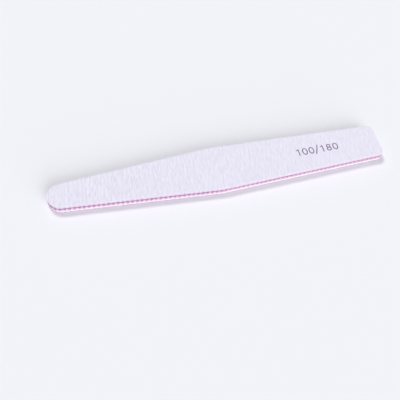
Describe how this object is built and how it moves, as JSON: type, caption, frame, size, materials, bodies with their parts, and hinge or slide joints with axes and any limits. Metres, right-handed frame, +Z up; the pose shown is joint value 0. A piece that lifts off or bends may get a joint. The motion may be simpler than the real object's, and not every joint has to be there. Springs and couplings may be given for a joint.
{
  "type": "emery board",
  "caption": "Tapered emery board with a narrow rounded tip and a wider end, foam-backed abrasive on both faces and a toothed plastic core.",
  "frame": {"origin": "on the lower (fine) face, under the middle of the board's length and width", "axes": "+X along the board towards its wide end, +Y across the board, +Z up through the layers to the upper (coarse) face"},
  "size_m": [0.178, 0.0264, 0.0052],
  "materials": {
    "core_plastic": "satin sheet plastic, whitened where the die cut it",
    "tape_film": "clear double-sided adhesive film",
    "foam": "white closed-cell foam",
    "backing_paper": "latex-treated backing paper",
    "bond_resin": "cured clear resin",
    "coarse_abrasive": "100 grit grains under a pale streaked anti-clog coat",
    "fine_abrasive": "180 grit grains under a pale streaked anti-clog coat"
  },
  "bodies": {
    "root": {"core_board": "core_plastic", "upper_core_tape": "tape_film", "lower_core_tape": "tape_film", "upper_foam_pad": "foam", "lower_foam_pad": "foam", "upper_paper_tape": "tape_film", "lower_paper_tape": "tape_film", "upper_backing_paper": "backing_paper", "lower_backing_paper": "backing_paper", "upper_bond_coat": "bond_resin", "lower_bond_coat": "bond_resin", "upper_grit": "coarse_abrasive", "lower_grit": "fine_abrasive"}
  },
  "joints": []
}
